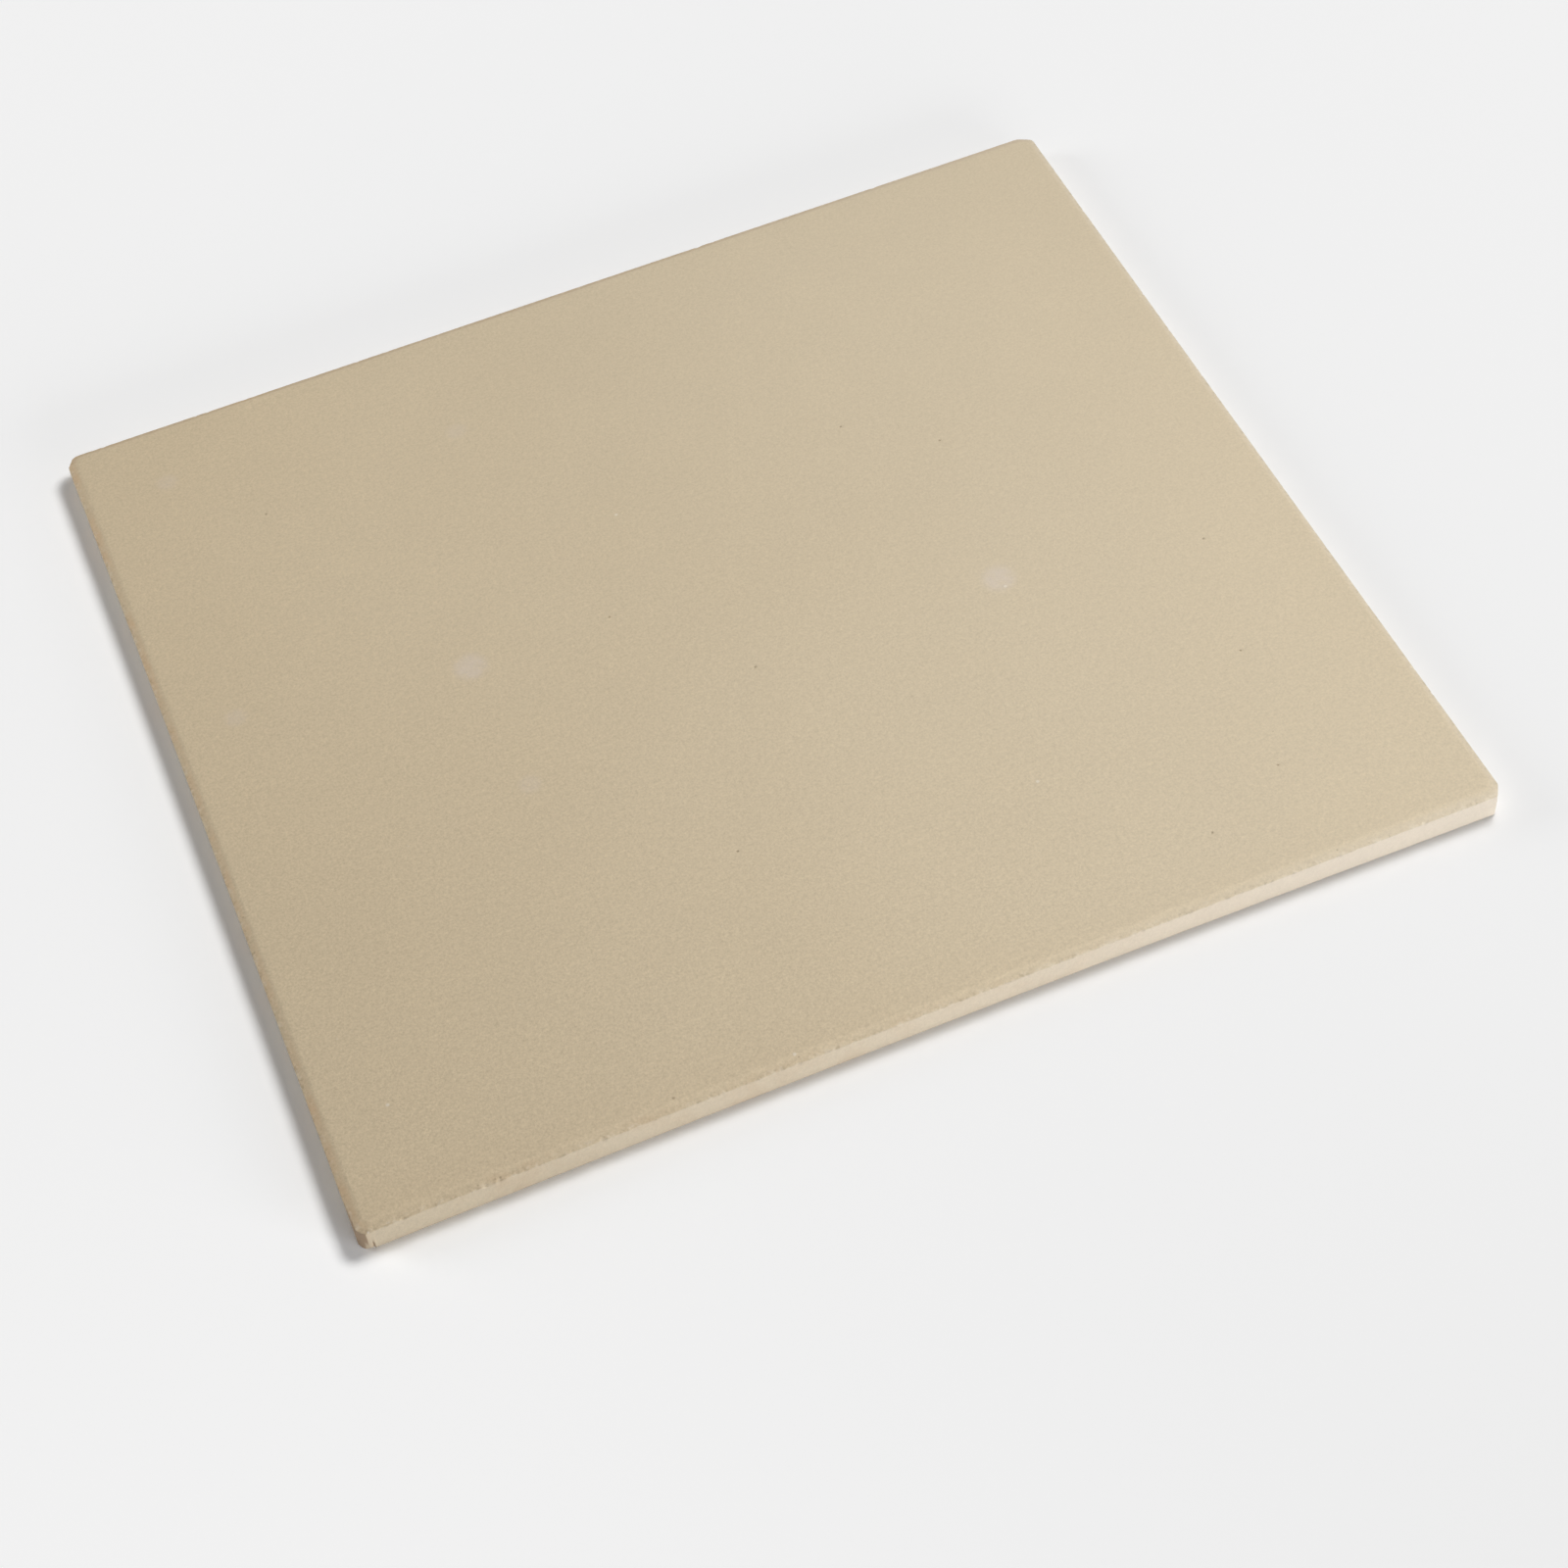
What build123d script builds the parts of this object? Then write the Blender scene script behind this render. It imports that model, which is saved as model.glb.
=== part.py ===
from build123d import *
import os

# A pizza stone: one flat, nearly square slab of fired, unglazed ceramic that lies on its underside.
# Millimetres, +Z up. The origin is the middle of the underside, +X runs along the long front side
# and +Y from the front side to the back.

# The slab's overall size
slab_width = 381.0
slab_depth = 356.0
slab_thickness = 9.5

# Each corner, seen from above, is cut off straight, by this much along both sides
corner_cut = 4.0

# A shallow bevel runs all round the baking face
bevel_run = 3.0
bevel_drop = 1.65

# Every edge is rubbed round before firing, so that it doesn't chip on an oven rack
rubbed_edge_radius = 1.0


def slab_outline():
    """The slab seen from above: a rectangle with its four corners cut off."""
    rectangle = Rectangle(slab_width, slab_depth)
    return chamfer(rectangle.vertices(), corner_cut)


def bevelled_slab():
    """The slab with upright sides and the bevel round its baking face."""
    slab = extrude(slab_outline(), slab_thickness)
    baking_face = slab.faces().sort_by(Axis.Z)[-1]
    return chamfer(baking_face.edges(), bevel_run, bevel_drop, reference=baking_face)


def baking_stone():
    """The finished slab, with all its edges rubbed round."""
    slab = bevelled_slab()
    return fillet(slab.edges(), rubbed_edge_radius)


os.makedirs("parts", exist_ok=True)
export_step(baking_stone(), "parts/baking_stone.step")
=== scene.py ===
import math
import random

import bpy
from mathutils import Matrix, Vector, noise
from mathutils.geometry import delaunay_2d_cdt


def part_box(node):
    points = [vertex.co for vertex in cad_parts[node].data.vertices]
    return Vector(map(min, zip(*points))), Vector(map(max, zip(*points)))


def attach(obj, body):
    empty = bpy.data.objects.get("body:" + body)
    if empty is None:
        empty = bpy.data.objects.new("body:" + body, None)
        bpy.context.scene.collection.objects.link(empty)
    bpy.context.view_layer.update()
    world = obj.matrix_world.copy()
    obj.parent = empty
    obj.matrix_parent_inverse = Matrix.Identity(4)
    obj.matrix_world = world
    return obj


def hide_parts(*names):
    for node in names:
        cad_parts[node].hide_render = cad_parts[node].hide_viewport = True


# The looks of a flat, unglazed ceramic baking slab, lying on a pale floor. Metres, in the frame of the
# solid: +X along the long front side, +Y from the front to the back, +Z up, and the origin in the middle
# of the underside.

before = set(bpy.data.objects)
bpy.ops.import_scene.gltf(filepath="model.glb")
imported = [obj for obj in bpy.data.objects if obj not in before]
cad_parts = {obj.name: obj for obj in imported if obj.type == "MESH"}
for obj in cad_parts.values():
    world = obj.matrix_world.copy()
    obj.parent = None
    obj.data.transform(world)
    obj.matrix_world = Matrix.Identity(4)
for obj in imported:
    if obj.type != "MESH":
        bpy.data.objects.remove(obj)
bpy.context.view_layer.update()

MM = 0.001

# The slab's size comes from the solid. The bevel was rubbed by hand, so its run differs a little by side.
stone_low, stone_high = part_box("baking_stone")
half_width = stone_high.x
half_depth = stone_high.y
thickness = stone_high.z
bevel_run = 3.0 * MM
bevel_drop = 1.15 * MM
bevel_foot = thickness - bevel_drop
SIDE_RUNS = {"front": 3.9 * MM, "right": 2.7 * MM, "back": 3.2 * MM, "left": 3.6 * MM}

# The radius to which each edge of the section is rubbed round
upper_edge_radius = 2.2 * MM
lower_edge_radius = 0.5 * MM
underside_edge_radius = 0.4 * MM

# Each corner's cut along the front or back side, its cut along the left or right side, and its roundness
CORNER_CUTS = {
    "front_left": (2.9 * MM, 2.8 * MM, 0.7 * MM),
    "front_right": (2.6 * MM, 4.4 * MM, 1.8 * MM),
    "back_right": (5.2 * MM, 2.9 * MM, 2.6 * MM),
    "back_left": (2.6 * MM, 4.8 * MM, 3.6 * MM),
}
least_corner_cut = 1.5 * MM

# Further in, each cut is shorter by this share of the inset, so that the bevel keeps its run round a corner
cut_shrink_share = 0.586

# A corner's rounding takes at most this share of the shorter of its two sides
longest_arc_share = 0.4

# How far the middle of each upright side bows inwards. The bevel's upper edge stays straight.
SIDE_BOWS = {"front": 1.0 * MM, "right": 0.15 * MM, "back": 0.05 * MM, "left": 0.5 * MM}

# How much the edge below the bevel crumbles, side by side and at the corners
SIDE_CRUMBLE = {"front": 0.3 * MM, "right": 0.06 * MM, "back": 0.08 * MM, "left": 0.14 * MM}
corner_crumble = 0.2 * MM

# Spacing of the mesh: along the sides, round the corners, and inside the two large faces
SIDE_STEPS = {"front": 0.42 * MM, "right": 0.6 * MM, "back": 0.7 * MM, "left": 0.52 * MM}
fine_edge_step = 0.22 * MM
fine_edge_length = 6.0 * MM
arc_steps = 4
corner_cut_steps = 8
top_step = 3.3 * MM
underside_step = 7.0 * MM
top_border = 5.0 * MM
underside_border = 4.0 * MM

# In a face's lattice, as shares of its step: how far points stray, and how far in from its border and its
# corners they begin. Points closer to each other than the last length count as one.
lattice_jitter = 0.22
lattice_margin = 0.8
lattice_corner_margin = 2.5
same_point_distance = 1e-7

# How uneven the surface is. Each pair is the depth and the wavelength of one layer of waves.
BROAD_HOLLOWS = (0.09 * MM, 70 * MM)
FINE_HOLLOWS = (0.025 * MM, 22 * MM)
BROAD_WANDER = (0.22 * MM, 34 * MM)
FINE_WANDER = (0.12 * MM, 11 * MM)

# The crumbling edge: the lengths of its patches, bites and grains, how much each of them counts, how far
# from the edge it crumbles, and how far from the edge a point may lie to have crumbs or chips out of it
crumble_patch_length = 17 * MM
crumble_bite_length = 2.4 * MM
crumble_grain_length = 1.1 * MM
crumble_patch_mean = 0.55
crumble_patch_swing = 0.6
crumble_bite_threshold = 0.08
crumble_bite_depth = 1.7
crumble_grain_depth = 0.9
crumble_reach = 1.5 * MM
chipped_reach = 2.0 * MM

# Chips in random places: how many on each side, their reaches and depths in millimetres, and the middle
# share of each side that has them. The nicks' middles lie a little further in.
CHIP_COUNTS = {"front": 16, "right": 6, "back": 7, "left": 8}
CHIP_REACHES = (0.8, 1.5)
CHIP_DEPTHS = (0.08, 0.24)
chipped_share = 0.97
nick_inset = 0.3 * MM

# A pinprick's pit, and the rings of mesh round it
pinprick_depth = 0.35 * MM
pinprick_reach = 0.8 * MM
PINPRICK_RINGS = (0.3 * MM, 0.6 * MM, 1.0 * MM)
pinprick_spokes = 8

# Marks on the baking face, as places along X and Y. A smudge also has its radius and its strength.
PALE_SMUDGES = (
    (-89.0 * MM, 17.3 * MM, 7.5 * MM, 1.0),
    (85.6 * MM, -25.0 * MM, 7.5 * MM, 1.0),
    (-159.9 * MM, 148.7 * MM, 5.0 * MM, 0.5),
    (-167.8 * MM, 31.2 * MM, 5.0 * MM, 0.5),
    (-87.7 * MM, -39.4 * MM, 5.0 * MM, 0.45),
    (-58.2 * MM, 125.7 * MM, 5.0 * MM, 0.4),
)
PINPRICKS = (
    (-36.6 * MM, -94.4 * MM),
    (94.1 * MM, 43.6 * MM),
    (65.7 * MM, 65.6 * MM),
    (155.0 * MM, -39.2 * MM),
    (101.1 * MM, -152.7 * MM),
    (-39.2 * MM, 17.6 * MM),
    (-132.0 * MM, 117.5 * MM),
    (-2.9 * MM, -25.1 * MM),
    (143.4 * MM, -89.2 * MM),
    (132.0 * MM, -137.4 * MM),
    (-88.3 * MM, -173.0 * MM),
    (-34.9 * MM, -175.3 * MM),
)
PALE_SPECKS = (
    (60.6 * MM, -110.3 * MM),
    (-49.4 * MM, -173.9 * MM),
    (-167.9 * MM, -138.2 * MM),
    (-20.7 * MM, 61.2 * MM),
    (86.2 * MM, -29.3 * MM),
)

# Nicks in the front side's edge below the bevel: place along X, width and depth
FRONT_NICKS = (
    (162.2 * MM, 2.4 * MM, 0.45 * MM),
    (132.9 * MM, 2.2 * MM, 0.4 * MM),
    (64.9 * MM, 3.0 * MM, 0.6 * MM),
    (56.2 * MM, 2.0 * MM, 0.4 * MM),
    (26.1 * MM, 2.4 * MM, 0.5 * MM),
    (-49.5 * MM, 3.0 * MM, 0.6 * MM),
    (-112.5 * MM, 3.2 * MM, 0.6 * MM),
    (-145.4 * MM, 2.6 * MM, 0.55 * MM),
    (-147.9 * MM, 1.8 * MM, 0.4 * MM),
    (-149.7 * MM, 2.8 * MM, 0.6 * MM),
    (-175.8 * MM, 2.0 * MM, 0.4 * MM),
)

# Dark specks of painted shade in the nicks along that edge, pale specks along it, and dark ones on the left
# side's bevel
FRONT_NICK_PAINTED_SHADE = (
    (162.4 * MM, -177.8 * MM),
    (132.8 * MM, -175.4 * MM),
    (64.7 * MM, -177.6 * MM),
    (26.6 * MM, -178.0 * MM),
    (-48.6 * MM, -175.1 * MM),
    (-112.3 * MM, -177.8 * MM),
    (-144.7 * MM, -177.6 * MM),
    (-145.1 * MM, -178.2 * MM),
    (-144.9 * MM, -176.6 * MM),
    (-146.5 * MM, -176.5 * MM),
    (-147.1 * MM, -177.7 * MM),
    (-149.4 * MM, -177.6 * MM),
    (-151.9 * MM, -176.4 * MM),
    (-188.4 * MM, -177.9 * MM),
)
FRONT_PALE_SPECKS = (
    (-186.7 * MM, -177.7 * MM),
    (135.4 * MM, -177.9 * MM),
    (26.1 * MM, -178.2 * MM),
    (-50.3 * MM, -177.4 * MM),
    (-112.9 * MM, -177.9 * MM),
    (-144.1 * MM, -178.3 * MM),
    (-146.0 * MM, -178.1 * MM),
)
LEFT_SPECKS = (
    (-190.4 * MM, -164.2 * MM),
    (-185.1 * MM, -148.1 * MM),
    (-189.1 * MM, -64.9 * MM),
    (-188.5 * MM, -50.0 * MM),
)

# Where the front side strays from the plain slab, in millimetres: centre, reach along each axis, and how
# far the surface moves. Its foot spreads towards both ends, and the rest is wear round its two corners.
SHIFTED_PLACES = {
    "whole foot": ((0, -178, 0), (900, 4, 8), (0, -0.1, 0)),
    "right end of the foot": ((190, -178, 0), (150, 4, 8), (0, -0.42, 0)),
    "left end of the foot": ((-190, -178, 0), (150, 4, 8), (0, -0.22, 0)),
    "worn left edge": ((-190.5, -176, 8), (3, 15, 3.2), (0.45, 0, -0.1)),
    "top of the left facet": ((-189, -176.8, 8.4), (3.2, 3.2, 2.6), (-0.15, -0.2, -0.45)),
    "foot of the left facet": ((-189.2, -176.6, 0), (1.9, 1.9, 6), (-0.3, -0.35, 0)),
    "foot beside the facet": ((-187.4, -178, 0), (1.3, 2.5, 5), (0, 0.5, 0)),
    "groove": ((-186.4, -178, 1.2), (0.5, 2, 3.2), (0, 0.75, 0)),
    "ridge": ((-185.6, -178, 2.2), (0.5, 2, 3.2), (0, -0.15, 0)),
    "foot of the right corner": ((189.6, -176.6, 0), (4, 4, 7), (-0.6, 0.3, 0)),
}
front_wear_depth = 20 * MM


# The outline seen from above. Its eight sides run counter-clockwise from the front side.
SIDES = ("front", "front_right", "right", "back_right", "back", "back_left", "left", "front_left")


def side_shares(side):
    """How far along a side its points stand, as shares from 0 to 1. The front starts with finer steps."""
    if side in ("front", "back"):
        length = 2 * half_width
    elif side in ("left", "right"):
        length = 2 * half_depth
    else:
        return [step / corner_cut_steps for step in range(1, corner_cut_steps)]
    fine = round(fine_edge_length / fine_edge_step) if side == "front" else 0
    places = [step * fine_edge_step for step in range(1, fine + 1)]
    rest = length - fine * fine_edge_step
    coarse = round(rest / SIDE_STEPS[side])
    places += [length - rest + rest * step / coarse for step in range(1, coarse)]
    return [place / length for place in places]


SIDE_SHARES = {side: side_shares(side) for side in SIDES}


def outline_corners(inset):
    """The outline's eight corners at an inset, with the roundness of each. Side n begins at corner n."""
    reach = {}
    for side, run in SIDE_RUNS.items():
        reach[side] = inset * run / bevel_run if inset < bevel_run else inset - bevel_run + run
    left, right = reach["left"] - half_width, half_width - reach["right"]
    front, back = reach["front"] - half_depth, half_depth - reach["back"]
    cuts = {}
    for corner, (along_x, along_y, roundness) in CORNER_CUTS.items():
        shrink = cut_shrink_share * inset
        along_x = max(along_x - shrink, least_corner_cut)
        along_y = max(along_y - shrink, least_corner_cut)
        cuts[corner] = (along_x, along_y, roundness)
    front_left, front_right, back_right, back_left = cuts.values()
    return (
        (Vector((left + front_left[0], front)), front_left[2]),
        (Vector((right - front_right[0], front)), front_right[2]),
        (Vector((right, front + front_right[1])), front_right[2]),
        (Vector((right, back - back_right[1])), back_right[2]),
        (Vector((right - back_right[0], back)), back_right[2]),
        (Vector((left + back_left[0], back)), back_left[2]),
        (Vector((left, back - back_left[1])), back_left[2]),
        (Vector((left, front + front_left[1])), front_left[2]),
    )


def rounded_corner(before, corner, after, roundness):
    """Points on the arc that rounds a corner between its two neighbours."""
    arriving = (corner - before).normalized()
    leaving = (after - corner).normalized()
    turn = arriving.angle(leaving)
    room = longest_arc_share * min((corner - before).length, (after - corner).length)
    radius = min(roundness, room / math.tan(turn / 2))
    outward = Vector((arriving.y, -arriving.x))
    centre = corner - arriving * radius * math.tan(turn / 2) - outward * radius
    first = math.atan2(outward.y, outward.x)
    points = []
    for step in range(arc_steps + 1):
        angle = first + turn * step / arc_steps
        points.append(centre + Vector((math.cos(angle), math.sin(angle))) * radius)
    return points


def outline_ring(inset):
    """The points of the outline at an inset, always as many and in the same order."""
    corners = outline_corners(inset)
    count = len(corners)
    arcs = []
    for n in range(count):
        before, after = corners[n - 1][0], corners[(n + 1) % count][0]
        arcs.append(rounded_corner(before, corners[n][0], after, corners[n][1]))
    points = []
    for n, side in enumerate(SIDES):
        points += arcs[n]
        start, end = arcs[n][-1], arcs[(n + 1) % count][0]
        points += [start.lerp(end, share) for share in SIDE_SHARES[side]]
    return points


def ring_normals(ring):
    """At each point of a ring, the level direction that points out of the slab."""
    normals = []
    for n in range(len(ring)):
        along = ring[(n + 1) % len(ring)] - ring[n - 1]
        normals.append(Vector((along.y, -along.x)).normalized())
    return normals


def ring_columns():
    """For each point of a ring, the side that it is on and how far along it, as a share from 0 to 1."""
    columns = []
    for side in SIDES:
        columns += [(side, 0.0)] * (arc_steps + 1)
        columns += [(side, share) for share in SIDE_SHARES[side]]
    return columns


# The section through a side, from the baking face round to the underside. Each corner has its inset, height
# and radius, the steps round it, the steps on the way to it, and how these crowd. 1 is even, and less
# crowds them towards the corner.
SECTION_CORNERS = (
    (bevel_run + top_border, thickness, 0.0, 0, 0, 1.0),
    (bevel_run, thickness, upper_edge_radius, 3, 2, 1.0),
    (0.0, bevel_foot, lower_edge_radius, 5, 4, 0.6),
    (0.0, 0.0, underside_edge_radius, 3, 6, 1.6),
    (underside_border, 0.0, 0.0, 0, 1, 1.0),
)


def straight_run(start, end, normal, steps, crowding):
    """Points of the section from the start up to, but not at, the end."""
    return [(start.lerp(end, (step / steps) ** crowding), normal) for step in range(steps)]


def section_points():
    """Points round the section, each an inset and a height, with its normal pointing out of the slab."""
    corners = [Vector((-corner[0], corner[1])) for corner in SECTION_CORNERS]
    points = []
    last = corners[0]
    for n in range(1, len(corners) - 1):
        radius, round_steps, steps, crowding = SECTION_CORNERS[n][2:]
        arriving = (corners[n] - corners[n - 1]).normalized()
        leaving = (corners[n + 1] - corners[n]).normalized()
        turn = arriving.angle(leaving)
        reach = radius * math.tan(turn / 2)
        outward = Vector((-arriving.y, arriving.x))
        centre = corners[n] - arriving * reach - outward * radius
        points += straight_run(last, corners[n] - arriving * reach, outward, steps, crowding)
        first = math.atan2(outward.y, outward.x)
        for step in range(round_steps):
            angle = first - turn * step / round_steps
            normal = Vector((math.cos(angle), math.sin(angle)))
            points.append((centre + normal * radius, normal))
        last = corners[n] + leaving * reach
    down = Vector((0.0, -1.0))
    points += straight_run(last, corners[-1], down, *SECTION_CORNERS[-1][4:])
    points.append((corners[-1], down))
    return points


# How the surface departs from the plain slab


def ripple(place, wavelength, layer):
    """Smooth noise from -1 to 1 over a place, with its own layer for each use."""
    return noise.noise(Vector((place.x / wavelength, place.y / wavelength, 10.0 * layer + 0.5)))


def top_hollow(place):
    """How far the baking face lies below its plane."""
    broad_depth, broad_length = BROAD_HOLLOWS
    fine_depth, fine_length = FINE_HOLLOWS
    broad = 0.5 + 0.5 * ripple(place, broad_length, 1)
    fine = 0.5 + 0.5 * ripple(place, fine_length, 2)
    return broad_depth * broad + fine_depth * fine


def bow(side, share):
    """How far an upright side stands in at a place along it."""
    return SIDE_BOWS.get(side, 0.0) * 4.0 * share * (1.0 - share)


def upper_edge_wander(place):
    """How far the bevel's upper edge strays from its line."""
    broad_depth, broad_length = BROAD_WANDER
    fine_depth, fine_length = FINE_WANDER
    return broad_depth * ripple(place, broad_length, 3) + fine_depth * ripple(place, fine_length, 4)


def crumble(side, place):
    """How deep the edge below the bevel has crumbled away."""
    patchy = crumble_patch_mean + crumble_patch_swing * ripple(place, crumble_patch_length, 5)
    bites = max(0.0, ripple(place, crumble_bite_length, 6) - crumble_bite_threshold)
    grains = max(0.0, ripple(place, crumble_grain_length, 7))
    rough = crumble_bite_depth * bites + crumble_grain_depth * grains
    return SIDE_CRUMBLE.get(side, corner_crumble) * patchy * rough


def nearness(distance, reach):
    """1 at no distance, falling smoothly to 0 at the reach."""
    return max(0.0, 1.0 - (distance / reach) ** 2) ** 2


def front_shift(place):
    """How far the front side strays from the plain slab at a place."""
    moved = Vector((0.0, 0.0, 0.0))
    for centre, reach, shift in SHIFTED_PLACES.values():
        off = [(place[axis] - centre[axis] * MM) / (reach[axis] * MM) for axis in range(3)]
        moved += Vector([part * MM for part in shift]) * nearness(Vector(off).length, 1.0)
    return moved


def edge_chips():
    """Small chips out of the edge below the bevel: place, reach and depth."""
    chips = []
    for x, width, depth in FRONT_NICKS:
        chips.append((Vector((x, nick_inset - half_depth, bevel_foot)), width / 2, depth))
    draw = random.Random(7)
    for side, count in CHIP_COUNTS.items():
        outwards = 1 if side in ("right", "back") else -1
        for chip in range(count):
            along = draw.uniform(-chipped_share, chipped_share)
            if side in ("front", "back"):
                place = Vector((along * half_width, outwards * half_depth, bevel_foot))
            else:
                place = Vector((outwards * half_width, along * half_depth, bevel_foot))
            chips.append((place, draw.uniform(*CHIP_REACHES) * MM, draw.uniform(*CHIP_DEPTHS) * MM))
    return chips


EDGE_CHIPS = edge_chips()


def side_point(column, plan, away, inset, height, normal):
    """A point of the worn slab on one of its rings."""
    side, share = column
    edge_share = min(1.0, max(0.0, (height - bevel_foot) / bevel_drop))
    border_share = min(1.0, max(0.0, (inset - bevel_run) / top_border))
    inwards = bow(side, share) * (1.0 - edge_share)
    inwards += upper_edge_wander(plan) * edge_share * (1.0 - border_share)
    place = Vector((plan.x - away.x * inwards, plan.y - away.y * inwards, height))
    place.z -= top_hollow(plan) * edge_share
    facing = Vector((away.x * normal.x, away.y * normal.x, normal.y))
    from_edge = math.hypot(inset, height - bevel_foot)
    if from_edge < chipped_reach:
        place -= facing * crumble(side, plan) * nearness(from_edge, crumble_reach)
        for centre, reach, depth in EDGE_CHIPS:
            if abs(centre.x - place.x) < reach and abs(centre.y - place.y) < reach:
                place -= facing * depth * nearness((centre - place).length, reach)
    if place.y < front_wear_depth - half_depth:
        place += front_shift(place)
    return place


def top_point(plan):
    """A point of the worn baking face, with its pinpricks."""
    height = thickness - top_hollow(plan)
    for x, y in PINPRICKS:
        distance = math.hypot(plan.x - x, plan.y - y)
        height -= pinprick_depth * nearness(distance, pinprick_reach)
    return Vector((plan.x, plan.y, height))


def face_lattice(step, inset, draw):
    """Places in a loose triangular lattice inside the outline, clear of its border."""
    places = []
    row_step = step * math.sqrt(3) / 2
    x_room = half_width - inset - step * lattice_margin
    y_room = half_depth - inset - step * lattice_margin
    corner_room = x_room + y_room - step * lattice_corner_margin
    rows = int(y_room / row_step)
    for row in range(-rows, rows + 1):
        shift = step / 2 if row % 2 else 0.0
        across = int(x_room / step)
        for column in range(-across, across + 1):
            x = column * step + shift + draw.uniform(-lattice_jitter, lattice_jitter) * step
            y = row * row_step + draw.uniform(-lattice_jitter, lattice_jitter) * step
            if abs(x) < x_room and abs(y) < y_room and abs(x) + abs(y) < corner_room:
                places.append(Vector((x, y)))
    return places


def pinprick_rings():
    """Extra places round each pinprick, so that its pit is round."""
    places = []
    for x, y in PINPRICKS:
        places.append(Vector((x, y)))
        for radius in PINPRICK_RINGS:
            for spoke in range(pinprick_spokes):
                angle = math.tau * spoke / pinprick_spokes
                places.append(Vector((x + radius * math.cos(angle), y + radius * math.sin(angle))))
    return places


def fill_face(border, places):
    """Triangles between the border ring and the places inside it, and the origin of each point."""
    loop = list(range(len(border)))
    inside_only = 1
    result = delaunay_2d_cdt(list(border) + places, [], [loop], inside_only, same_point_distance)
    plan, faces, origins = result[0], result[2], result[3]
    return plan, faces, origins


def add_cap(vertices, faces, border_start, border, places, lift, upwards):
    """Closes the slab, above or below, with a face inside a border ring."""
    plan, triangles, origins = fill_face(border, places)
    number = []
    for point, origin in zip(plan, origins):
        on_border = [index for index in origin if index < len(border)]
        if on_border:
            number.append(border_start + on_border[0])
        else:
            number.append(len(vertices))
            vertices.append(lift(point))
    for triangle in triangles:
        corners = [number[index] for index in triangle]
        faces.append(corners if upwards else corners[::-1])


def slab_mesh():
    """The vertices and faces of the whole slab."""
    columns = ring_columns()
    away = ring_normals(outline_ring(0.0))
    count = len(columns)
    vertices = []
    section = section_points()
    for point, normal in section:
        inset, height = -point.x, point.y
        for n, plan in enumerate(outline_ring(inset)):
            vertices.append(side_point(columns[n], plan, away[n], inset, height, normal))
    faces = []
    for row in range(len(section) - 1):
        upper, lower = row * count, (row + 1) * count
        for n in range(count):
            following = (n + 1) % count
            faces.append((upper + n, lower + n, lower + following, upper + following))
    draw = random.Random(3)
    top_places = face_lattice(top_step, bevel_run + top_border, draw) + pinprick_rings()
    add_cap(vertices, faces, 0, [v.xy for v in vertices[:count]], top_places, top_point, True)
    last = (len(section) - 1) * count
    bottom_places = face_lattice(underside_step, underside_border, draw)
    bottom_border = [v.xy for v in vertices[last:last + count]]
    add_cap(vertices, faces, last, bottom_border, bottom_places, lambda plan: plan.to_3d(), False)
    return vertices, faces


# Materials


class Nodes:
    """Short ways to build a node tree."""

    def __init__(self, tree):
        self.tree = tree
        tree.nodes.clear()

    def add(self, kind, inputs=None, **settings):
        """A node with its settings, and with each named input set or linked."""
        made = self.tree.nodes.new(kind)
        for name, value in settings.items():
            setattr(made, name, value)
        for name, value in (inputs or {}).items():
            socket = made.inputs[name]
            if isinstance(value, bpy.types.NodeSocket):
                self.tree.links.new(value, socket)
            else:
                socket.default_value = value
        return made

    def math(self, operation, *values):
        """The result of a math node."""
        return self.add("ShaderNodeMath", dict(enumerate(values)), operation=operation).outputs[0]

    def times(self, value, other):
        """The product of two values."""
        return self.math("MULTIPLY", value, other)

    def vector_math(self, operation, *vectors):
        """The result of a vector math node: a number where it measures something, or else a vector."""
        made = self.add("ShaderNodeVectorMath", dict(enumerate(vectors)), operation=operation)
        measures = operation in ("DISTANCE", "LENGTH", "DOT_PRODUCT")
        return made.outputs["Value" if measures else "Vector"]

    def axes(self, vector):
        """A vector's three parts, under the names X, Y and Z."""
        return self.add("ShaderNodeSeparateXYZ", {0: vector}).outputs

    def noise(self, place, wavelength, detail=2.0, roughness=0.5):
        """Noise from about 0.2 to 0.8 with the given wavelength in metres."""
        inputs = {"Vector": place, "Scale": 1.0 / wavelength, "Detail": detail, "Roughness": roughness}
        return self.add("ShaderNodeTexNoise", inputs).outputs["Fac"]

    def spread(self, value, low, high, to_low=0.0, to_high=1.0, smooth=False):
        """Maps a value from one range to another, clamped at both ends."""
        kind = "SMOOTHSTEP" if smooth else "LINEAR"
        inputs = {"Value": value, "From Min": low, "From Max": high, "To Min": to_low, "To Max": to_high}
        return self.add("ShaderNodeMapRange", inputs, interpolation_type=kind).outputs["Result"]

    def tinted(self, colour, factor):
        """A linked colour made lighter or darker by a factor."""
        inputs = {0: colour, "Scale": factor}
        return self.add("ShaderNodeVectorMath", inputs, operation="SCALE").outputs[0]

    def blend(self, amount, colour, other):
        """The colour, mixed with the other by an amount."""
        inputs = {0: amount, 6: colour, 7: other}
        return self.add("ShaderNodeMix", inputs, data_type="RGBA").outputs[2]


def linear(level):
    """A level from 0 to 255 on screen, as the share of light that it stands for."""
    share = level / 255
    return share / 12.92 if share <= 0.04045 else ((share + 0.055) / 1.055) ** 2.4


def srgb(red, green, blue):
    """A colour given as 0 to 255 on screen, as the shader needs it."""
    return [linear(level) for level in (red, green, blue)] + [1.0]


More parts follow.
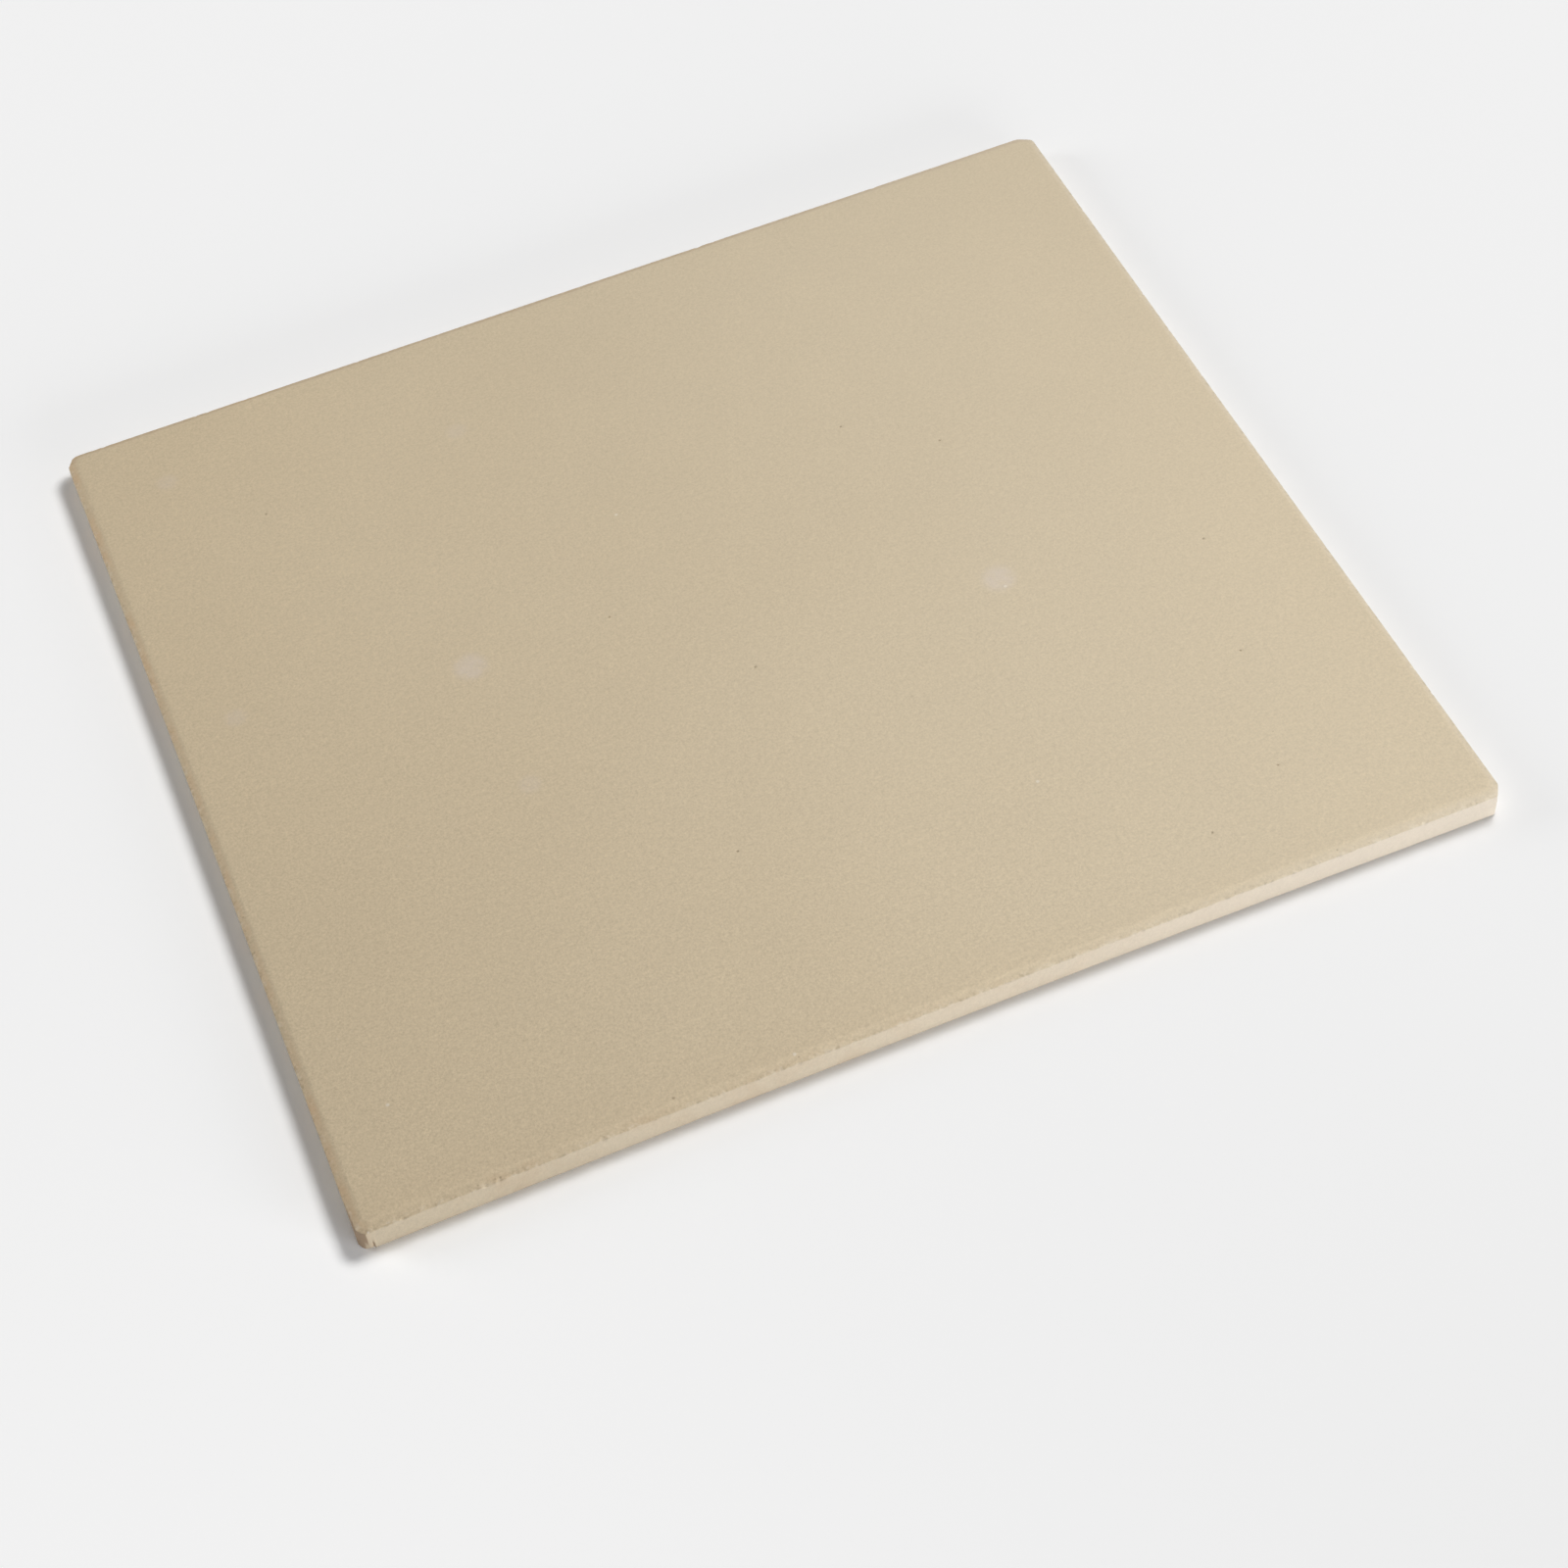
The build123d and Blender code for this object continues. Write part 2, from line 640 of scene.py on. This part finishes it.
clay_left = srgb(204, 186, 155.5)
clay_right = srgb(201, 186, 159.5)
side_left = srgb(205, 191, 166)
side_right = srgb(206, 194, 176)
# Brown for toasted patches and for the painted shade along the front
clay_toasted_and_painted_shade = srgb(186, 152, 116)
clay_warm = srgb(212, 178, 140)
# Brown for the painted shade on the back bevel and on the front left corner
clay_painted_shade = srgb(164, 138, 113)
clay_dark = srgb(96, 78, 58)
clay_pale = srgb(226, 218, 204)
clay_dusty = srgb(210, 198, 191)

# The range of most of a noise's values, and the range of nearly all of them
NOISE_MIDDLE = (0.3, 0.7)
NOISE_WHOLE = (0.25, 0.75)

# The stretches along X where the colour turns from left to right, and how far they wander
FACE_TURN = (-170 * MM, 100 * MM)
SIDE_TURN = (-150 * MM, 130 * MM)
turn_wander = 30 * MM
broad_patch_length = 130 * MM

# The clay's brightness: its range from patch to patch, the gain at the front and loss at the back of its
# painted light and shade, which fade in along X, the painted shade of its fall towards the right end, and
# the contrast of its sand and grain
PATCH_LEVELS = (0.985, 1.015)
PAINTED_FRONT_BACK_LIGHT = (0.05, -0.065)
PAINTED_LIGHT_FADE_IN = (-120 * MM, 0.0)
PAINTED_SHADE_RIGHT_END = (80 * MM, 180 * MM)
painted_shade_right_level = 0.975
sand_contrast = 0.042
grain_contrast = 0.088
upright_grain_share = 0.5

# Kinds of marks: radius, strength, and the share of the radius in which they fade
PINPRICK_MARK = (0.6 * MM, 0.55, 0.6)
PALE_SPECK_MARK = (0.7 * MM, 0.8, 0.5)
EDGE_DARK_MARK = (0.5 * MM, 0.34, 0.7)
EDGE_PALE_MARK = (0.5 * MM, 0.5, 0.7)

# The smudges: their softness, and the strengths between which a ragged noise varies them
smudge_softness = 0.6
SMUDGE_LEVELS = (0.18, 0.38)
RAGGED_NOISE = (0.3, 0.6)
ragged_length = 3.0 * MM

# Specks scattered all over: the spacing of their loose grid, their size, the share of its cells that have
# one, and their strength. A speck is full inside the core's share of its size and ends at the rim's.
SCATTERED_DARK = (9.0 * MM, 0.55 * MM, 0.35, 0.18)
SCATTERED_PALE = (11.0 * MM, 0.6 * MM, 0.3, 0.35)
speck_core = 0.35
speck_rim = 0.5

# The most that marks may cover the clay where they overlap
most_dark = 0.45
most_pale = 0.5
most_edge_dark = 0.4

# The bevel: how deep below the baking face its tone begins and is in full, how bright its painted shade
# leaves it, how strong the painted shade on its back and its stains are, and the values of the patchy noise
# between which two of them come in
bevel_start = 0.15 * MM
bevel_full = 0.6 * MM
painted_bevel_shade_level = 0.955
painted_back_bevel_shade = 0.35
toasted_stain_and_shade = 0.2
TOASTED_NOISE = (0.5, 0.68)
WARM_STAINS = (0.1, 0.42)
WARM_NOISE = (0.4, 0.65)
painted_front_margin_shade = 0.06
painted_bevel_light_level = 0.13
stain_length = 12 * MM

# How far from the left, the front and the back side the stains and painted shade there fade, and where the
# painted light on the bevel begins
LEFT_FADE = (3 * MM - half_width, 6 * MM - half_width)
FRONT_FADE = (4 * MM - half_depth, 22 * MM - half_depth)
BACK_FADE = (half_depth - 5 * MM, half_depth - 2 * MM)
PAINTED_BEVEL_LIGHT_PART = (40 * MM, 180 * MM)

# Pale crumbs and dark specks of painted shade along the bevel's foot: how far from it they fade, their
# noise and their strength
FOOT_FADE = (0.15 * MM, 0.6 * MM)
CRUMB_AND_PIT_SHADE_NOISE = (0.55, 0.68)
crumb_and_pit_shade_strength = 0.2
painted_pit_shade_length = 1.5 * MM
pale_crumb_length = 1.9 * MM

# How deep below the baking face the left bevel's specks lie, and how far in the front bevel begins
left_speck_depth = 0.7 * MM
front_bevel_start = 0.5 * MM

# The front left corner's painted shade: the direction of its facet, how closely a surface has to face that
# way or to the left, how far back the painted shade reaches, and its strength on the facet and on the left
# side
FACET_DIRECTION = (-0.93, -0.37, 0.0)
FACET_AGREEMENT = (0.6, 0.85)
LEFT_AGREEMENT = (0.9, 0.98)
CORNER_FADE = (2 * MM - half_depth, 22 * MM - half_depth)
painted_facet_shade = 0.8
painted_side_shade = 0.5

# Sandy grain: the lengths of its three noises, and its coarseness from the front left to the back right
cloud_length = 17 * MM
sand_length = 1.9 * MM
grain_length = 0.85 * MM
COARSENESS_DIRECTION = (1.0, 0.8, 0.0)
COARSENESS_RANGE = (-300 * MM, 300 * MM)
COARSENESS = (1.45, 0.7)

# The upward part of a normal between which a surface goes over from upright to level
UPRIGHT_RANGE = (0.3, 0.8)

# How the clay shines and how deep its grain is
ROUGHNESSES = (0.78, 0.9)
specular_level = 0.3
relief_depth = 0.12 * MM
relief_strength = 0.6
sand_in_relief = 0.6


def marks(nodes, place, spots):
    """The sum of round soft marks. Each has its centre, radius, strength and softness."""
    total = 0.0
    for centre, radius, strength, softness in spots:
        distance = nodes.vector_math("DISTANCE", place, centre)
        mark = nodes.spread(distance, radius * (1.0 - softness), radius, strength, 0.0, smooth=True)
        total = nodes.math("ADD", total, mark)
    return total


def scattered_specks(nodes, place, spacing, size, chosen_share):
    """Small specks in random places, one for each chosen cell of a loose grid."""
    inputs = {"Vector": place, "Scale": 1.0 / spacing, "Randomness": 1.0}
    cells = nodes.add("ShaderNodeTexVoronoi", inputs, feature="F1")
    in_cells = size / spacing
    near = nodes.spread(cells.outputs["Distance"], speck_core * in_cells, speck_rim * in_cells, 1.0, 0.0)
    tint = nodes.add("ShaderNodeSeparateColor", {"Color": cells.outputs["Color"]}).outputs[0]
    chosen = nodes.math("LESS_THAN", tint, chosen_share)
    return nodes.times(near, chosen)


def plain_clay(nodes, place, coarseness, upright, cloudy, sand, grain):
    """The clay's colour: warmer to the left, paler on the upright sides and sandy, with painted light and
    shade that is lighter at the front, darker at the back and darker at the right end.
    """
    along = nodes.axes(place)
    broad = nodes.noise(place, broad_patch_length)
    wander = nodes.spread(broad, *NOISE_MIDDLE, -turn_wander, turn_wander)
    across = nodes.math("ADD", along["X"], wander)
    clay = nodes.blend(nodes.spread(across, *FACE_TURN), clay_left, clay_right)
    side = nodes.blend(nodes.spread(across, *SIDE_TURN), side_left, side_right)

    # Painted light and shade: lighter towards the front and darker towards the back, fading in towards the
    # right
    painted_front_back_light = nodes.spread(along["Y"], -half_depth, half_depth, *PAINTED_FRONT_BACK_LIGHT)
    painted_front_back_light = nodes.times(painted_front_back_light, nodes.spread(along["X"], *PAINTED_LIGHT_FADE_IN))
    sandy = nodes.spread(sand, *NOISE_WHOLE, -sand_contrast, sand_contrast)
    grainy = nodes.spread(grain, *NOISE_WHOLE, -grain_contrast, grain_contrast)
    fine = nodes.times(nodes.math("ADD", sandy, grainy), coarseness)
    fine = nodes.times(fine, nodes.spread(upright, 0.0, 1.0, 1.0, upright_grain_share))

    brightness = nodes.spread(broad, *NOISE_MIDDLE, *PATCH_LEVELS)
    brightness = nodes.times(brightness, nodes.spread(cloudy, *NOISE_MIDDLE, *PATCH_LEVELS))
    brightness = nodes.times(brightness, nodes.math("ADD", painted_front_back_light, 1.0))
    # Painted shade: darker towards the right end
    brightness = nodes.times(brightness, nodes.spread(along["X"], *PAINTED_SHADE_RIGHT_END, 1.0, painted_shade_right_level))
    brightness = nodes.times(brightness, nodes.math("ADD", fine, 1.0))
    return nodes.tinted(nodes.blend(upright, clay, side), brightness)


def face_specks(nodes, place, known_places, kind, scattered):
    """Specks in known places on the baking face and in random ones."""
    spacing, size, chosen_share, strength = scattered
    known = marks(nodes, place, [((x, y, thickness), *kind) for x, y in known_places])
    loose = scattered_specks(nodes, place, spacing, size, chosen_share)
    return nodes.math("MULTIPLY_ADD", loose, strength, known)


def with_face_marks(nodes, place, colour):
    """The colour with the baking face's smudges, pinpricks and specks."""
    spots = [((x, y, thickness), *rest, smudge_softness) for x, y, *rest in PALE_SMUDGES]
    ragged = nodes.noise(place, ragged_length, detail=3.0, roughness=0.6)
    levels = nodes.spread(ragged, *RAGGED_NOISE, *SMUDGE_LEVELS)
    smudges = nodes.times(marks(nodes, place, spots), levels)
    colour = nodes.blend(smudges, colour, clay_dusty)
    for places, kind, scattered, most, tone in (
        (PINPRICKS, PINPRICK_MARK, SCATTERED_DARK, most_dark, clay_dark),
        (PALE_SPECKS, PALE_SPECK_MARK, SCATTERED_PALE, most_pale, clay_pale),
    ):
        specks = face_specks(nodes, place, places, kind, scattered)
        colour = nodes.blend(nodes.math("MINIMUM", specks, most), colour, tone)
    return colour


def with_bevel_tones(nodes, place, along, colour):
    """The colour with painted shade on the bevel and browner at its back, toasted patches with painted
    shade growing towards the left, warm patches on the left, painted shade along the front and painted
    light paling the bevel to the right.
    """
    on_bevel = nodes.spread(along["Z"], thickness - bevel_full, thickness - bevel_start, 1.0, 0.0)
    # Painted shade: the whole bevel a little darker than the baking face
    colour = nodes.tinted(colour, nodes.spread(on_bevel, 0.0, 1.0, 1.0, painted_bevel_shade_level))
    leftwards = nodes.spread(along["X"], -half_width, half_width, 1.0, 0.0)
    patches = nodes.noise(place, stain_length, detail=3.0, roughness=0.6)

    # Painted shade: the back bevel browner and darker
    painted_back_shade = nodes.spread(along["Y"], *BACK_FADE, 0.0, painted_back_bevel_shade)
    # Toasted patches on the bevel, with painted shade making them stronger towards the left
    toasted = nodes.times(nodes.spread(patches, *TOASTED_NOISE, 0.0, toasted_stain_and_shade), leftwards)
    on_left = nodes.spread(along["X"], *LEFT_FADE, 1.0, 0.0)
    warm = nodes.times(nodes.spread(patches, *WARM_NOISE, *WARM_STAINS), on_left)
    # Painted shade: darker along the front, growing towards the left
    painted_front_shade = nodes.spread(along["Y"], *FRONT_FADE, painted_front_margin_shade, 0.0)
    # Painted light: the bevel paler towards the right, where the light falls on it
    rubbed = nodes.spread(along["X"], *PAINTED_BEVEL_LIGHT_PART, 0.0, painted_bevel_light_level)
    for tone, amount, where in (
        (clay_painted_shade, painted_back_shade, on_bevel),
        (clay_toasted_and_painted_shade, toasted, on_bevel),
        (clay_warm, warm, on_bevel),
        (clay_toasted_and_painted_shade, painted_front_shade, leftwards),
        (clay_pale, rubbed, on_bevel),
    ):
        colour = nodes.blend(nodes.times(amount, where), colour, tone)
    return colour


def with_foot_crumbs_and_pit_shade(nodes, place, along, colour):
    """The colour with pale crumbs and dark specks of painted shade, for pits too small for the mesh, along
    the foot of the bevel.
    """
    from_foot = nodes.math("ABSOLUTE", nodes.math("SUBTRACT", along["Z"], bevel_foot))
    at_foot = nodes.spread(from_foot, *FOOT_FADE, 1.0, 0.0)
    # The dark specks are painted shade for pits too small for the mesh; the pale ones are crumbs
    for tone, length in ((clay_dark, painted_pit_shade_length), (clay_pale, pale_crumb_length)):
        crumbs = nodes.noise(place, length, detail=1.0)
        crumbs = nodes.spread(crumbs, *CRUMB_AND_PIT_SHADE_NOISE, 0.0, crumb_and_pit_shade_strength)
        colour = nodes.blend(nodes.times(crumbs, at_foot), colour, tone)
    return colour


def front_bevel_height(y):
    """How high the front side's bevel stands at a place along Y."""
    rise = (y + half_depth - front_bevel_start) / SIDE_RUNS["front"] * bevel_drop
    return min(thickness, bevel_foot + rise)


def with_edge_specks(nodes, place, colour):
    """The colour with dark specks of painted shade in the front edge's nicks, its pale specks, and the left
    bevel's dark specks.
    """
    # The front's dark specks are painted shade in its nicks
    dark = [((x, y, front_bevel_height(y)), *EDGE_DARK_MARK) for x, y in FRONT_NICK_PAINTED_SHADE]
    dark += [((x, y, thickness - left_speck_depth), *EDGE_DARK_MARK) for x, y in LEFT_SPECKS]
    darkness = nodes.math("MINIMUM", marks(nodes, place, dark), most_edge_dark)
    colour = nodes.blend(darkness, colour, clay_dark)
    pale = [((x, y, front_bevel_height(y)), *EDGE_PALE_MARK) for x, y in FRONT_PALE_SPECKS]
    return nodes.blend(marks(nodes, place, pale), colour, clay_pale)


def with_painted_corner_shade(nodes, along, facing, colour):
    """The colour with painted shade on the facet of the front left corner and on the left side next to it.
    """
    # Painted shade on the facet and on the left side next to it
    near_front = nodes.spread(along["Y"], *CORNER_FADE, painted_facet_shade, 0.0)
    towards_facet = nodes.vector_math("DOT_PRODUCT", facing, FACET_DIRECTION)
    on_facet = nodes.spread(towards_facet, *FACET_AGREEMENT)
    colour = nodes.blend(nodes.times(near_front, on_facet), colour, clay_painted_shade)
    leftness = nodes.times(nodes.axes(facing)["X"], -1.0)
    on_side = nodes.times(nodes.spread(leftness, *LEFT_AGREEMENT, 0.0, painted_side_shade), near_front)
    return nodes.blend(on_side, colour, clay_dark)


def fired_clay():
    """Unglazed fired clay: beige, matt, with a fine sandy grain, a few marks of use, and painted light and
    shade.
    """
    material = bpy.data.materials.new("fired_clay")
    material.use_nodes = True
    nodes = Nodes(material.node_tree)
    place = nodes.add("ShaderNodeTexCoord").outputs["Object"]
    along = nodes.axes(place)
    facing = nodes.add("ShaderNodeNewGeometry").outputs["Normal"]
    upright = nodes.spread(nodes.axes(facing)["Z"], *UPRIGHT_RANGE, 1.0, 0.0)

    from_front_left = nodes.vector_math("DOT_PRODUCT", place, COARSENESS_DIRECTION)
    coarseness = nodes.spread(from_front_left, *COARSENESS_RANGE, *COARSENESS)
    cloudy = nodes.noise(place, cloud_length, detail=3.0, roughness=0.55)
    sand = nodes.noise(place, sand_length, roughness=0.6)
    grain = nodes.noise(place, grain_length, roughness=0.7)

    colour = plain_clay(nodes, place, coarseness, upright, cloudy, sand, grain)
    colour = with_face_marks(nodes, place, colour)
    colour = with_bevel_tones(nodes, place, along, colour)
    colour = with_foot_crumbs_and_pit_shade(nodes, place, along, colour)
    colour = with_edge_specks(nodes, place, colour)
    colour = with_painted_corner_shade(nodes, along, facing, colour)

    relief = nodes.times(nodes.math("MULTIPLY_ADD", sand, sand_in_relief, grain), coarseness)
    bump_inputs = {"Strength": relief_strength, "Distance": relief_depth, "Height": relief}
    shader_inputs = {
        "Base Color": colour,
        "Roughness": nodes.spread(cloudy, *NOISE_MIDDLE, *ROUGHNESSES),
        "Specular IOR Level": specular_level,
        "Normal": nodes.add("ShaderNodeBump", bump_inputs).outputs["Normal"],
    }
    shader = nodes.add("ShaderNodeBsdfPrincipled", shader_inputs)
    nodes.add("ShaderNodeOutputMaterial", {"Surface": shader.outputs[0]})
    return material


def add_slab():
    """The whole slab, in place of the plain solid."""
    vertices, faces = slab_mesh()
    mesh = bpy.data.meshes.new("baking_slab")
    mesh.from_pydata(vertices, [], faces)
    mesh.validate()
    mesh.polygons.foreach_set("use_smooth", [True] * len(mesh.polygons))
    mesh.materials.append(fired_clay())
    slab = bpy.data.objects.new("baking_slab", mesh)
    bpy.context.scene.collection.objects.link(slab)
    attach(slab, "root")
    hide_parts("baking_stone")


# The stage: a pale floor, soft lamps and the camera. Seen by the camera, the floor is lit up to one radius
# from the slab's middle and an even pale background from the other on.
pale_grey = srgb(240, 240, 240)
floor_reach = 20.0
floor_level = -0.02 * MM
lit_radius = 0.42
faded_radius = 0.8

# Each lamp's azimuth and elevation in degrees seen from the slab, distance, width, height (0 for a disc),
# share of the light on a level surface, and tint
LAMPS = {
    "key_lamp": (12, 57, 1.2, 0.44, 0.0, 0.487, (1.0, 1.0, 1.0)),
    "second_lamp": (35, 57, 1.2, 0.44, 0.0, 0.213, (1.0, 1.0, 1.0)),
    "front_strip": (-75, 10, 1.0, 0.9, 0.22, 0.11, (0.99, 1.0, 1.03)),
    "back_left_lamp": (150, 18, 1.8, 0.9, 0.0, 0.112, (0.99, 1.0, 1.01)),
}
ambient_share = 0.08
ambient_tint = (0.99, 1.0, 1.01)

# A lamp's width thins its light out like a greater distance: by the width squared, divided by this
disc_width_divisor = 8.0
strip_width_divisor = 18.0


def lamp_direction(azimuth, elevation):
    """The direction from the slab to a lamp, from angles in degrees."""
    azimuth, elevation = math.radians(azimuth), math.radians(elevation)
    level = math.cos(elevation)
    return Vector((level * math.cos(azimuth), level * math.sin(azimuth), math.sin(elevation)))


def seen_directly(nodes):
    """1 for what the camera sees, directly or in a reflection, and 0 for light on the object."""
    rays = nodes.add("ShaderNodeLightPath").outputs
    seen = nodes.math("MAXIMUM", rays["Is Camera Ray"], rays["Is Glossy Ray"])
    return nodes.math("MAXIMUM", seen, rays["Is Transmission Ray"])


def open_floor_light(nodes, place):
    """The light that reaches a place on the empty floor, by colour. 1 is a plain level."""
    total = [ambient_share * level for level in ambient_tint]
    for azimuth, elevation, distance, width, height, share, tint in LAMPS.values():
        towards = lamp_direction(azimuth, elevation)
        leaving = nodes.vector_math("SUBTRACT", towards * distance, place)
        squared = nodes.vector_math("DOT_PRODUCT", leaving, leaving)
        width_effect = width ** 2 / (strip_width_divisor if height else disc_width_divisor)
        spread_out = nodes.math("ADD", squared, width_effect)
        facing = nodes.vector_math("DOT_PRODUCT", leaving, towards)
        falling = nodes.math("DIVIDE", facing, nodes.math("POWER", spread_out, 2.0))
        light = nodes.times(falling, share * distance ** 3)
        total = nodes.vector_math("MULTIPLY_ADD", light, tint, total)
    return total


def floor_material():
    """A matt pale floor that looks evenly lit and fades, away from the object, into an even background."""
    material = bpy.data.materials.new("pale_floor")
    material.use_nodes = True
    nodes = Nodes(material.node_tree)
    place = nodes.add("ShaderNodeTexCoord").outputs["Object"]
    distance = nodes.vector_math("LENGTH", place)
    seen = seen_directly(nodes)
    faded = nodes.times(nodes.spread(distance, lit_radius, faded_radius, smooth=True), seen)
    evened = nodes.vector_math("DIVIDE", pale_grey[:3], open_floor_light(nodes, place))
    lit = nodes.add("ShaderNodeBsdfDiffuse", {"Color": nodes.blend(seen, pale_grey, evened)}).outputs[0]
    even = nodes.add("ShaderNodeEmission", {"Color": pale_grey}).outputs[0]
    surface = nodes.add("ShaderNodeMixShader", {0: faded, 1: lit, 2: even}).outputs[0]
    nodes.add("ShaderNodeOutputMaterial", {"Surface": surface})
    return material


def add_floor():
    """The floor, a hair below the underside."""
    outwards = ((-1, -1), (1, -1), (1, 1), (-1, 1))
    corners = [(x * floor_reach, y * floor_reach, floor_level) for x, y in outwards]
    mesh = bpy.data.meshes.new("floor")
    mesh.from_pydata(corners, [], [(0, 1, 2, 3)])
    mesh.materials.append(floor_material())
    floor = bpy.data.objects.new("floor", mesh)
    bpy.context.scene.collection.objects.link(floor)


def add_lamp(name, azimuth, elevation, distance, width, height, share, tint):
    """A soft lamp that faces the slab and stays out of the picture."""
    towards = lamp_direction(azimuth, elevation)
    light = bpy.data.lights.new(name, "AREA")
    light.shape = "RECTANGLE" if height else "DISK"
    light.size = width
    light.size_y = height
    light.color = tint
    light.energy = math.pi ** 2 * distance ** 2 * share / towards.z
    lamp = bpy.data.objects.new(name, light)
    lamp.location = towards * distance
    lamp.rotation_euler = towards.to_track_quat("Z", "Y").to_euler()
    lamp.visible_camera = False
    bpy.context.scene.collection.objects.link(lamp)


def add_world():
    """A dim even light from all round, seen by the camera as the pale background."""
    world = bpy.data.worlds.new("studio")
    world.use_nodes = True
    bpy.context.scene.world = world
    nodes = Nodes(world.node_tree)
    dim = [ambient_share * level for level in ambient_tint] + [1.0]
    colour = nodes.blend(seen_directly(nodes), dim, pale_grey)
    background = nodes.add("ShaderNodeBackground", {"Color": colour}).outputs[0]
    nodes.add("ShaderNodeOutputWorld", {"Surface": background})


# The camera's place, direction, turn round its own axis, and lens in millimetres
camera_place = (-0.1950, -0.7081, 0.8193)
camera_azimuth = math.radians(-16.05)
camera_elevation = math.radians(50.90)
camera_roll = math.radians(-7.71)
camera_lens = 74.465
camera_sensor = 36.0


def add_camera():
    """The camera, where the photograph was taken from."""
    level = math.cos(camera_elevation)
    back_x = math.sin(camera_azimuth) * level
    back_y = -math.cos(camera_azimuth) * level
    back = Vector((back_x, back_y, math.sin(camera_elevation)))
    right = Vector((math.cos(camera_azimuth), math.sin(camera_azimuth), 0.0))
    up = back.cross(right)
    turned = Matrix((right, up, back)).transposed() @ Matrix.Rotation(camera_roll, 3, "Z")
    data = bpy.data.cameras.new("camera")
    data.lens = camera_lens
    data.sensor_width = camera_sensor
    camera = bpy.data.objects.new("camera", data)
    camera.matrix_world = Matrix.Translation(camera_place) @ turned.to_4x4()
    bpy.context.scene.collection.objects.link(camera)
    bpy.context.scene.camera = camera


add_slab()
add_floor()
for name, settings in LAMPS.items():
    add_lamp(name, *settings)
add_world()
add_camera()
bpy.context.scene.view_settings.view_transform = "Standard"
